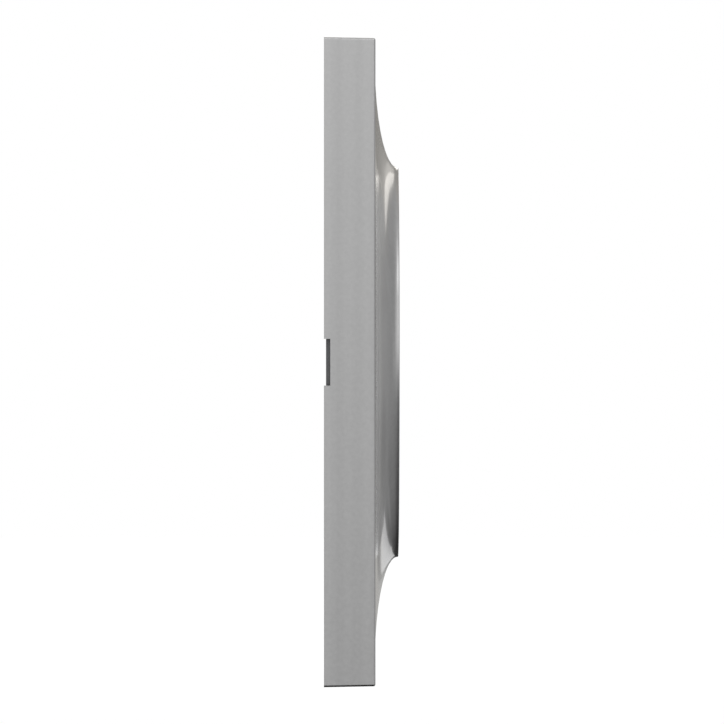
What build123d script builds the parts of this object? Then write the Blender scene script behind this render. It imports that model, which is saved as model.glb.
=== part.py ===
from build123d import *

import os
from math import hypot, radians, sqrt, tan

# Square cover plate for one wall switch: a cast shell with a flared round collar, and the clip frame in it.
# It is drawn with the wall at z = 0 and the front looking along +z, then stood up to look along -Y.
# Lengths are in millimetres and angles in degrees.

# Cast shell
plate_side = 82.0  # outline where the shell meets the wall
plate_depth = 6.5  # wall to flat front
shell_wall = 1.3
side_draft = 1.0  # the sides lean in towards the front
edge_round = 0.25  # corners of the outline and edges of the front
cavity_round = 0.8  # corners inside the shell

# Flared collar
opening_radius = 25.0
lip_width = 1.0
lip_rise = 3.15  # lip above the flat front
lip_round = 0.15  # outside edge of the lip
lip_chamfer = 0.15  # inside edge of the lip
flat_land = 0.2  # flat strip between the flare and the rounded front edge
sleeve_wall = 1.0
sleeve_length = 4.0  # from the lip back into the plate
sleeve_chamfer = 0.3

# Pry notch in the left side
notch_width = 5.9
notch_depth = 0.8

# Posts of the shell, peened over behind the clip frame
post_radius = 1.4
post_inset = 5.2  # post centre from the inside of both walls
head_overhang = 0.9  # head beyond the post
head_height = 0.8
head_lean = 0.5  # head narrows by this much towards its end

# Moulded clip frame
frame_clearance = 0.1  # to the inside of the shell walls
frame_setback = 0.25  # skirt edge in front of the wall
skirt_wall = 1.2
web_thickness = 1.3
sleeve_clearance = 0.15
ring_wall = 1.2
ring_depth = 1.7  # ring behind the web
flare_clearance = 0.4  # front of the ring to the underside of the flare
post_clearance = 0.1
boss_wall = 1.4
boss_height = 1.3
rib_thickness = 1.0
rib_height = 1.2

# Snap catches of the clip frame
catch_width = 8.0
catch_thickness = 1.2
catch_tip = 0.8  # tip in front of the wall
tooth_count = 2
tooth_pitch = 0.8
tooth_height = 0.6
slot_width = 1.0
slot_clearance = 0.3  # slot to the catch
tongue_root = 2.6  # web between the slots and the skirt
rib_to_slot = 1.2

# Positions that follow from the sizes above
draft_slope = tan(radians(side_draft))
cavity_side = plate_side - 2 * shell_wall
cavity_top = plate_depth - shell_wall
lip_radius = opening_radius + lip_width
lip_top = plate_depth + lip_rise
flare_centre = lip_top - lip_round
flare_rise = lip_rise - lip_round
flare_end = plate_side / 2 - plate_depth * draft_slope - edge_round - flat_land
flare_reach = flare_end - lip_radius
sleeve_radius = opening_radius + sleeve_wall
sleeve_end = lip_top - sleeve_length
hollow_top = flare_centre - shell_wall
hollow_end = flare_end - shell_wall
post_offset = cavity_side / 2 - post_inset
head_radius = post_radius + head_overhang
skirt_side = cavity_side - 2 * frame_clearance
skirt_hollow = skirt_side - 2 * skirt_wall
skirt_middle = (skirt_side - skirt_wall) / 2
web_back = cavity_top - web_thickness
ring_inner = sleeve_radius + sleeve_clearance
ring_outer = ring_inner + ring_wall
boss_back = web_back - boss_height
rib_back = web_back - rib_height
hole_radius = post_radius + post_clearance
boss_radius = hole_radius + boss_wall
catch_face = (ring_outer + skirt_hollow / 2 - catch_thickness) / 2  # catch in the middle of the web
slot_start = catch_face - tooth_height - slot_clearance
slot_inner = catch_width / 2 + slot_clearance
slot_outer = slot_inner + slot_width
tongue_end = skirt_hollow / 2 - tongue_root
rib_offset = slot_outer + rib_to_slot + rib_thickness / 2

quarter_turns = (0, 90, 180, 270)
post_places = [(x, y) for x in (-post_offset, post_offset) for y in (-post_offset, post_offset)]


def flare_knee():
    # Point one wall under the middle of the flare, where the two cones of its hollow meet
    slope = hypot(flare_reach, flare_rise)
    radius = flare_end - flare_reach / sqrt(2) - shell_wall * flare_rise / slope
    height = flare_centre - flare_rise / sqrt(2) - shell_wall * flare_reach / slope
    return radius, height


def hollow_height(radius):
    # Underside of the flare at a radius
    knee_radius, knee_height = flare_knee()
    if radius > knee_radius:
        share = (radius - knee_radius) / (hollow_end - knee_radius)
        return knee_height + share * (cavity_top - knee_height)
    share = (knee_radius - radius) / (knee_radius - sleeve_radius)
    return knee_height + share * (hollow_top - knee_height)


def drafted_block(side_at_wall, bottom, top, corner_radius):
    # Square block with leaning sides; its side is given at the wall
    side = side_at_wall - 2 * bottom * draft_slope
    block = extrude(Rectangle(side, side), amount=top - bottom, taper=side_draft)
    corners = block.edges().filter_by(lambda edge: edge.bounding_box().size.Z > (top - bottom) / 2)
    return Pos(0, 0, bottom) * fillet(corners, corner_radius)


def disc(radius, bottom, top):
    return Pos(0, 0, bottom) * extrude(Circle(radius), amount=top - bottom)


def bar(x_from, x_to, y_middle, y_width, bottom, top):
    # Straight bar along x
    outline = Rectangle(x_to - x_from, y_width)
    return Pos((x_from + x_to) / 2, y_middle, bottom) * extrude(outline, amount=top - bottom)


def make_square_shell():
    block = extrude(Rectangle(plate_side, plate_side), amount=plate_depth, taper=side_draft)
    back = block.faces().sort_by(Axis.Z)[0]
    block = fillet(block.edges() - back.edges(), edge_round)
    block -= drafted_block(cavity_side, 0, cavity_top, cavity_round)
    return block - disc(flare_end, cavity_top, plate_depth)


def make_collar():
    # Flare, lip and sleeve turned from one section, drawn as radius and height
    lip_edge = (lip_radius - lip_round, lip_top)
    flare_start = (flare_end, plate_depth)
    section = Curve() + [
        EllipticalCenterArc((flare_end, flare_centre), flare_reach, flare_rise, 180, arc_size=90),
        CenterArc((lip_radius - lip_round, flare_centre), lip_round, 0, 90),
        Polyline(
            lip_edge,
            (opening_radius + lip_chamfer, lip_top),
            (opening_radius, lip_top - lip_chamfer),
            (opening_radius, sleeve_end + sleeve_chamfer),
            (opening_radius + sleeve_chamfer, sleeve_end),
            (sleeve_radius, sleeve_end),
            (sleeve_radius, hollow_top),
            flare_knee(),
            (hollow_end, cavity_top),
            (flare_end, cavity_top),
            flare_start,
        ),
    ]
    return revolve(Plane.XZ * make_face(section), Axis.Z)


def make_post():
    # Post from the front wall, with the flat head that peening leaves
    head = Pos(0, 0, boss_back - head_height / 2) * Cone(head_radius - head_lean, head_radius, head_height)
    return head + disc(post_radius, boss_back, cavity_top + shell_wall / 2)


def make_front_plate():
    plate = make_square_shell() + make_collar()
    for x, y in post_places:
        plate += Pos(x, y, 0) * make_post()
    left = -plate_side / 2
    return plate - bar(left, left + 2 * shell_wall, 0, notch_width, 0, notch_depth)


def make_catch():
    # Toothed catch at +x; each tooth slopes towards the wall and is square towards the front
    back_face = catch_face + catch_thickness
    points = [(catch_face, cavity_top), (back_face, cavity_top), (back_face, catch_tip)]
    for tooth in range(tooth_count):
        start = catch_tip + tooth * tooth_pitch
        points += [(catch_face, start), (catch_face - tooth_height, start + tooth_pitch)]
    points.append((catch_face, catch_tip + tooth_count * tooth_pitch))
    section = Plane.XZ * make_face(Polyline(*points, close=True))
    return extrude(section, amount=catch_width / 2, both=True)


def make_slot():
    # Slot on three sides of the catch, so that its tongue of the web can bend
    window = bar(slot_start, catch_face, 0, 2 * slot_outer, web_back, cavity_top)
    middle = (slot_inner + slot_outer) / 2
    sides = [bar(slot_start, tongue_end, y, slot_width, web_back, cavity_top) for y in (-middle, middle)]
    return window + sides


def make_clip_frame():
    frame = drafted_block(skirt_side, frame_setback, cavity_top, cavity_round)
    frame -= drafted_block(skirt_hollow, frame_setback, web_back, cavity_round)
    frame += disc(ring_outer, web_back - ring_depth, hollow_height(ring_outer) - flare_clearance)
    boss_side = post_offset * sqrt(2) - (boss_radius + head_radius) / 2  # in the boss, clear of the head
    for turn in quarter_turns:
        for y in (-rib_offset, rib_offset):
            frame += Rot(0, 0, turn) * bar(ring_inner, skirt_middle, y, rib_thickness, rib_back, web_back)
        frame += Rot(0, 0, turn + 45) * bar(ring_inner, boss_side, 0, rib_thickness, rib_back, web_back)
        frame -= Rot(0, 0, turn) * make_slot()
        frame += Rot(0, 0, turn) * make_catch()
    for x, y in post_places:
        frame += Pos(x, y, 0) * disc(boss_radius, boss_back, web_back)
        frame -= Pos(x, y, 0) * disc(hole_radius, boss_back, cavity_top)
    return frame - disc(ring_inner, 0, lip_top)


stand_up = Rot(90, 0, 0)
os.makedirs("parts", exist_ok=True)
export_step(stand_up * make_front_plate(), "parts/front_plate.step")
export_step(stand_up * make_clip_frame(), "parts/clip_frame.step")
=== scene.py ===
import math

import bpy
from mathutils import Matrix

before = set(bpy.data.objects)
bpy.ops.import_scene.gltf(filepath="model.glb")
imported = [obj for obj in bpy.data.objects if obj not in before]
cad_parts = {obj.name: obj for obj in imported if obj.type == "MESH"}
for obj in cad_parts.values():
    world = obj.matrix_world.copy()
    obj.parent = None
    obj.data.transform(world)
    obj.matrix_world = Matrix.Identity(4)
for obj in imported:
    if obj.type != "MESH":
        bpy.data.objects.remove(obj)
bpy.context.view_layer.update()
print("frame loaded:", ", ".join(sorted(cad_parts)))

scene = bpy.context.scene
scene.view_settings.view_transform = "Standard"

# camera: straight at the left side, with the front of the plate to the right
shot = {
    "place": (-0.732, -0.0048, 0.000025),
    "turn": (90, 0, -90),
    "lens": 272.5,
    "sensor": 36,
    "clipStart": 0.01,
}


def makeCamera(look):
    data = bpy.data.cameras.new("sideCamera")
    data.lens = look["lens"]
    data.sensor_width = look["sensor"]
    data.clip_start = look["clipStart"]
    camera = bpy.data.objects.new("sideCamera", data)
    camera.location = look["place"]
    camera.rotation_euler = [math.radians(angle) for angle in look["turn"]]
    scene.collection.objects.link(camera)
    scene.camera = camera


makeCamera(shot)
print("camera placed")

nodeGrid = {"rows": 6, "width": 220, "height": 320}  # new nodes stand in columns, in the order they are made
mixSockets = {"FLOAT": (2, 3, 0), "RGBA": (6, 7, 2)}  # numbers of A, B and Result on the Mix node
white = (1, 1, 1, 1)


def addNode(tree, kind, **settings):
    node = tree.nodes.new(kind)
    column, row = divmod(len(tree.nodes), nodeGrid["rows"])
    node.location = (column * nodeGrid["width"], -row * nodeGrid["height"])
    for name, value in settings.items():
        setattr(node, name, value)
    return node


# links another socket to this one, or sets its value
def feed(tree, socket, value):
    if isinstance(value, bpy.types.NodeSocket):
        tree.links.new(value, socket)
    else:
        socket.default_value = value


def addMath(tree, operation, *values):
    node = addNode(tree, "ShaderNodeMath", operation=operation)
    for socket, value in zip(node.inputs, values):
        feed(tree, socket, value)
    return node.outputs["Value"]


# one operation over any number of values, from left to right
def addChain(tree, operation, values):
    total = values[0]
    for value in values[1:]:
        total = addMath(tree, operation, total, value)
    return total


def addRange(tree, value, fromPair, toPair, smooth=False):
    kind = "SMOOTHSTEP" if smooth else "LINEAR"
    node = addNode(tree, "ShaderNodeMapRange", interpolation_type=kind)
    names = ("Value", "From Min", "From Max", "To Min", "To Max")
    for name, number in zip(names, (value, *fromPair, *toPair)):
        feed(tree, node.inputs[name], number)
    return node.outputs["Result"]


def addMix(tree, kind, factor, first, second, **settings):
    node = addNode(tree, "ShaderNodeMix", data_type=kind, **settings)
    a, b, result = mixSockets[kind]
    feed(tree, node.inputs["Factor"], factor)
    feed(tree, node.inputs[a], first)
    feed(tree, node.inputs[b], second)
    return node.outputs[result]


# grain of both pieces: fine specks, wide soft blotches and faint streaks along the height, each 0 to 1
grain = {
    "detail": {"Speck": 2.0, "Blotch": 3.0, "Streak": 2.0},
    "roughness": 0.6,
    "contrast": (0.3, 0.7),
    "streakScale": (1, 1, 0.005),  # drawn out along the height
    "streakShift": (0.05169, 0.00725, 0),  # which streaks fall on the left side
}


def makeGrainGroup(look):
    group = bpy.data.node_groups.new("surfaceGrain", "ShaderNodeTree")
    for name in look["detail"]:
        group.interface.new_socket(name + " Scale", in_out="INPUT", socket_type="NodeSocketFloat")
        group.interface.new_socket(name, in_out="OUTPUT", socket_type="NodeSocketFloat")
    scales = addNode(group, "NodeGroupInput").outputs
    masks = addNode(group, "NodeGroupOutput").inputs
    place = addNode(group, "ShaderNodeTexCoord").outputs["Object"]
    drawn = addNode(group, "ShaderNodeMapping")
    feed(group, drawn.inputs["Vector"], place)
    feed(group, drawn.inputs["Location"], look["streakShift"])
    feed(group, drawn.inputs["Scale"], look["streakScale"])
    for name, detail in look["detail"].items():
        noise = addNode(group, "ShaderNodeTexNoise")
        feed(group, noise.inputs["Vector"], drawn.outputs["Vector"] if name == "Streak" else place)
        feed(group, noise.inputs["Scale"], scales[name + " Scale"])
        feed(group, noise.inputs["Detail"], detail)
        feed(group, noise.inputs["Roughness"], look["roughness"])
        feed(group, masks[name], addRange(group, noise.outputs["Fac"], look["contrast"], (0, 1)))
    return group


grainGroup = makeGrainGroup(grain)


def startMaterial(name):
    material = bpy.data.materials.new(name)
    material.use_nodes = True
    return material, material.node_tree


def feedShader(tree, values):
    shader = tree.nodes["Principled BSDF"]
    for name, value in values.items():
        feed(tree, shader.inputs[name], value)


# base colour between dark and light, by a weighted sum of the grain's layers
def addTone(tree, masks, look):
    parts = [addMath(tree, "MULTIPLY", masks[name], weight) for name, weight in look["toneWeights"].items()]
    total = addChain(tree, "ADD", parts)
    return addMix(tree, "RGBA", total, (*look["dark"], 1), (*look["light"], 1))


def addBump(tree, height, look):
    bump = addNode(tree, "ShaderNodeBump")
    feed(tree, bump.inputs["Height"], height)
    feed(tree, bump.inputs["Distance"], look["bumpDistance"])
    feed(tree, bump.inputs["Strength"], look["bumpStrength"])
    return bump.outputs["Normal"]


def makeGrainedMaterial(name, look):
    material, tree = startMaterial(name)
    node = addNode(tree, "ShaderNodeGroup", node_tree=grainGroup)
    for layer, scale in look["scales"].items():
        feed(tree, node.inputs[layer + " Scale"], scale)
    masks = node.outputs
    feedShader(tree, {
        "Base Color": addTone(tree, masks, look),
        "Roughness": addRange(tree, masks["Speck"], (0, 1), look["roughness"]),
        "Normal": addBump(tree, masks["Speck"], look),
        "Metallic": look["metallic"],
        "Coat Weight": look["coat"],
        "Coat Roughness": look["coatRoughness"],
    })
    return material


# satin metal of the shell under clear lacquer
satinSilver = {
    "dark": (0.557, 0.557, 0.557),
    "light": (0.683, 0.683, 0.683),
    "toneWeights": {"Speck": 0.38, "Blotch": 0.08, "Streak": 0.54},
    "roughness": (0.28, 0.34),
    "metallic": 1,
    "coat": 1,
    "coatRoughness": 0.05,
    "scales": {"Speck": 1900.0, "Blotch": 260.0, "Streak": 420.0},
    "bumpDistance": 0.00001,
    "bumpStrength": 0.03,
}

# dark moulded plastic of the clip frame
darkPlastic = {
    "dark": (0.135, 0.136, 0.14),
    "light": (0.175, 0.176, 0.181),
    "toneWeights": {"Speck": 0.3, "Blotch": 0.6, "Streak": 0.1},
    "roughness": (0.5, 0.62),
    "metallic": 0,
    "coat": 0,
    "coatRoughness": 0,
    "scales": {"Speck": 2600.0, "Blotch": 150.0, "Streak": 300.0},
    "bumpDistance": 0.00004,
    "bumpStrength": 0.35,
}


def dress(node, material):
    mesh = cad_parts[node].data
    mesh.materials.clear()
    mesh.materials.append(material)


dress("front_plate", makeGrainedMaterial("satinSilver", satinSilver))
dress("clip_frame", makeGrainedMaterial("darkPlastic", darkPlastic))
print("materials assigned")

# pale floor, low enough that the plate's shadow stays out of the photo's view
floorLook = {
    "height": -0.12,
    "half": 3.0,
    "color": (0.8, 0.8, 0.8),
    "reach": (0.3, 1.5),  # distance from the middle over which the glow grows
    "glow": (0.22, 0.46),
}


def makeFloor(look):
    material, tree = startMaterial("paleFloor")
    rays = addNode(tree, "ShaderNodeLightPath").outputs
    kinds = ("Is Camera Ray", "Is Glossy Ray", "Is Transmission Ray")
    seen = addChain(tree, "MAXIMUM", [rays[kind] for kind in kinds])
    place = addNode(tree, "ShaderNodeTexCoord")
    away = addNode(tree, "ShaderNodeVectorMath", operation="LENGTH")
    feed(tree, away.inputs["Vector"], place.outputs["Object"])
    glow = addRange(tree, away.outputs["Value"], look["reach"], look["glow"])
    feedShader(tree, {
        "Base Color": (*look["color"], 1),
        "Roughness": 1,
        "Specular IOR Level": 0,
        "Emission Color": white,
        "Emission Strength": addMath(tree, "MULTIPLY", seen, glow),
    })
    half, height = look["half"], look["height"]
    corners = [(-half, -half, height), (half, -half, height), (half, half, height), (-half, half, height)]
    mesh = bpy.data.meshes.new("floor")
    mesh.from_pydata(corners, [], [(0, 1, 2, 3)])
    mesh.materials.append(material)
    floor = bpy.data.objects.new("floor", mesh)
    floor.visible_glossy = False  # reflections see the studio's dark lower half instead
    scene.collection.objects.link(floor)


makeFloor(floorLook)
print("floor laid")

# studio: the camera sees white; reflections see a soft grey room, darker below, with panels in it
# angles in degrees; turn is 0 towards the camera, 90 along the front or the back and 180 away
studio = {
    "fill": 0.7,  # light on matt surfaces
    "byElevation": (
        (-90, 0.08), (-64, 0.11), (-44, 0.195), (-12, 0.29), (0, 0.35), (25, 0.385), (90, 0.55),
    ),
    "byTurn": ((0, 1.13), (36, 1.13), (50, 1.02), (105, 0.96), (166, 0.97), (174, 0.75), (180, 0.68)),
    "lowShade": {"turn": (112, 170), "elevation": (-14, -3), "depth": 0.85},  # far side, below the level
    "lifts": (  # lighter or darker towards the camera
        {"turn": (62, 80), "elevation": (-15, 5), "levels": (0, 0.178)},
        {"turn": (10, 40), "elevation": (-12, 16), "levels": (-0.2, 0.53)},
    ),
    "backLift": {"side": (0.35, 0.7), "level": 0.3},  # lighter behind the plate
    "secondRoom": {  # plainer room that a reflection of a reflection sees
        "elevation": (-27, -9),
        "levels": (0.28, 0.47),
        "byTurn": ((0, 1), (75, 1), (120, 1.22), (140, 1.03), (165, 0.93), (180, 0.93)),
        "bounces": (2, 4),
        "gains": (1, 1.3),
    },
    "panels": (  # turn, elevation, fade at the ends of both, level
        ((160, 170.5), (6, 15), (2, 1.5), (0.8, 4), 0.48),  # glow above the upper highlight
        ((152.3, 162.7), (5.9, 25), (2.3, 1.2), (0.5, 3), 1.2),  # upper highlight of the flare
        ((157.9, 172), (-15.8, -3.65), (1.3, 1.2), (1.2, 0.4), 0.74),  # lower highlight
        ((18, 42), (43, 63), (8, 8), (8, 8), 1.6),  # light line on the lip
        ((38, 54), (9, 18), (5, 5), (4, 4), 0.8),  # lower end of that line
        ((86, 98), (-3, 3), (6, 6), (3, 3), 0.6),  # soft patch at mid height
        ((-9, 8), (30, 99), (1, 8), (8, 1), 0.2),  # dark flag above the camera
        ((173, 185), (-4, -1.8), (1, 1), (0.5, 0.5), 0.43),  # foot of the flare, lower half
        ((175.5, 185), (7, 20), (1.5, 1), (2, 2), 1.8),  # glint at the top of the lip
        ((140.5, 147.5), (-18, -8.5), (2.5, 2.5), (3, 2.5), 0.32),  # faint streak beside the lower highlight
    ),
    "warmth": {"tint": (1.0, 0.965, 0.91), "turn": (135, 160), "elevation": (-6, 0)},
}


# turn and elevation of a ray in the world, and how straight it goes to the back
def addDirection(tree):
    place = addNode(tree, "ShaderNodeTexCoord")
    axes = addNode(tree, "ShaderNodeSeparateXYZ")
    feed(tree, axes.inputs["Vector"], place.outputs["Generated"])
    x, y, z = (axes.outputs[name] for name in "XYZ")
    toCamera = addMath(tree, "MULTIPLY", x, -1)
    turn = addMath(tree, "ARCTAN2", addMath(tree, "ABSOLUTE", y), toCamera)
    elevation = addMath(tree, "ARCSINE", z)
    return addMath(tree, "DEGREES", turn), addMath(tree, "DEGREES", elevation), y


# straight lines between stops of angle and level
def addRamp(tree, angle, stops):
    low, high = stops[0][0], stops[-1][0]
    node = addNode(tree, "ShaderNodeFloatCurve")
    feed(tree, node.inputs["Value"], addRange(tree, angle, (low, high), (0, 1)))
    node.mapping.use_clip = False
    points = node.mapping.curves[0].points
    while len(points) < len(stops):
        points.new(0.5, 0.5)  # anywhere between the ends
    for point, (stop, level) in zip(points, stops):
        point.location = ((stop - low) / (high - low), level)
        point.handle_type = "VECTOR"
    node.mapping.update()
    return node.outputs["Value"]


def addRoom(tree, look, turn, elevation, back):
    high = addRamp(tree, elevation, look["byElevation"])
    around = addRamp(tree, turn, look["byTurn"])
    shade = look["lowShade"]
    far = addRange(tree, turn, shade["turn"], (0, shade["depth"]), smooth=True)
    low = addRange(tree, elevation, shade["elevation"], (1, 0), smooth=True)
    keep = addMath(tree, "SUBTRACT", 1, addMath(tree, "MULTIPLY", far, low))
    levels = [addChain(tree, "MULTIPLY", (high, around, keep))]
    for lift in look["lifts"]:
        near = addRange(tree, turn, lift["turn"], (1, 0), smooth=True)
        rise = addRange(tree, elevation, lift["elevation"], lift["levels"])
        levels.append(addMath(tree, "MULTIPLY", near, rise))
    lift = look["backLift"]
    levels.append(addRange(tree, back, lift["side"], (0, lift["level"]), smooth=True))
    return addChain(tree, "ADD", levels)


def addSecondRoom(tree, look, turn, elevation, bounces):
    high = addRange(tree, elevation, look["elevation"], look["levels"])
    around = addRamp(tree, turn, look["byTurn"])
    deep = addRange(tree, bounces, look["bounces"], look["gains"])
    return addChain(tree, "MULTIPLY", (high, around, deep))


def addPanel(tree, turn, elevation, room, panel):
    turnEnds, elevationEnds, turnFades, elevationFades, level = panel
    masks = []
    for angle, ends, fades in ((turn, turnEnds, turnFades), (elevation, elevationEnds, elevationFades)):
        for end, fade, levels in zip(ends, fades, ((0, 1), (1, 0))):
            masks.append(addRange(tree, angle, (end - fade, end + fade), levels, smooth=True))
    return addMix(tree, "FLOAT", addChain(tree, "MULTIPLY", masks), room, level)


def addWarmth(tree, look, turn, elevation, room):
    far = addRange(tree, turn, look["turn"], (0, 1), smooth=True)
    high = addRange(tree, elevation, look["elevation"], (0, 1), smooth=True)
    share = addMath(tree, "MULTIPLY", far, high)
    return addMix(tree, "RGBA", share, room, (*look["tint"], 1), blend_type="MULTIPLY")


def makeStudio(look):
    world = bpy.data.worlds.new("studio")
    world.use_nodes = True
    world.cycles.sampling_method = "NONE"
    tree = world.node_tree
    rays = addNode(tree, "ShaderNodeLightPath").outputs
    bounces = rays["Glossy Depth"]
    turn, elevation, back = addDirection(tree)
    first = addRoom(tree, look, turn, elevation, back)
    second = addSecondRoom(tree, look["secondRoom"], turn, elevation, bounces)
    room = addMix(tree, "FLOAT", addMath(tree, "GREATER_THAN", bounces, 1), first, second)
    for panel in look["panels"]:
        room = addPanel(tree, turn, elevation, room, panel)
    room = addWarmth(tree, look["warmth"], turn, elevation, room)
    mirror = addMath(tree, "MAXIMUM", rays["Is Glossy Ray"], rays["Is Transmission Ray"])
    fill = (look["fill"], look["fill"], look["fill"], 1)
    seen = addMix(tree, "RGBA", mirror, fill, room)
    seen = addMix(tree, "RGBA", rays["Is Camera Ray"], seen, white)
    feed(tree, tree.nodes["Background"].inputs["Color"], seen)
    scene.world = world


makeStudio(studio)

# soft key light, high on the camera's side
keyLight = {
    "place": (-0.6, -0.5, 1.2),
    "size": 1.0,
    "power": 7.0,
}


def makeKeyLight(look):
    data = bpy.data.lights.new("keyLight", "AREA")
    data.shape = "SQUARE"
    data.size = look["size"]
    data.energy = look["power"]
    lamp = bpy.data.objects.new("keyLight", data)
    lamp.location = look["place"]
    lamp.rotation_euler = (-lamp.location).to_track_quat("-Z", "Y").to_euler()
    lamp.visible_glossy = False  # reflections see the studio's panels instead
    scene.collection.objects.link(lamp)


makeKeyLight(keyLight)
print("studio lit")
